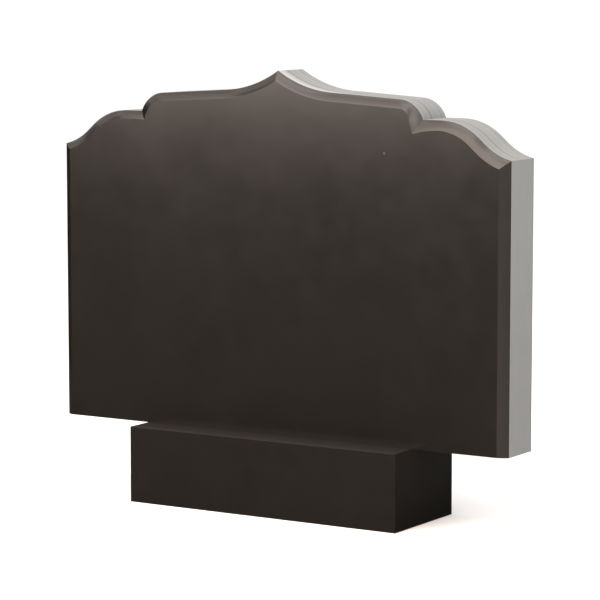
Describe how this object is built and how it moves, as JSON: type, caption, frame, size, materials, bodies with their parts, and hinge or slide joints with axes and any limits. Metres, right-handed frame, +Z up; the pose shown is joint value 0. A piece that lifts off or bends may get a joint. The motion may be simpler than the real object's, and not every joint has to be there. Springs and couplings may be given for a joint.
{
  "type": "headstone",
  "caption": "Upright memorial stone of dark polished granite with an ornamental crest and a bevelled front edge, standing on a rectangular plinth.",
  "frame": {"origin": "middle of the plinth's underside", "axes": "+X along the width of the stone, to the right as seen from the front; +Y from the front to the back; +Z up"},
  "size_m": [1, 0.22, 0.85],
  "materials": {
    "stele_stone": "dark granite, polished on the front face and its bevel, ground to light grey on the edges and back",
    "plinth_stone": "dark granite, polished, with softened edges"
  },
  "bodies": {
    "root": {"stele": "stele_stone", "plinth": "plinth_stone"}
  },
  "joints": []
}
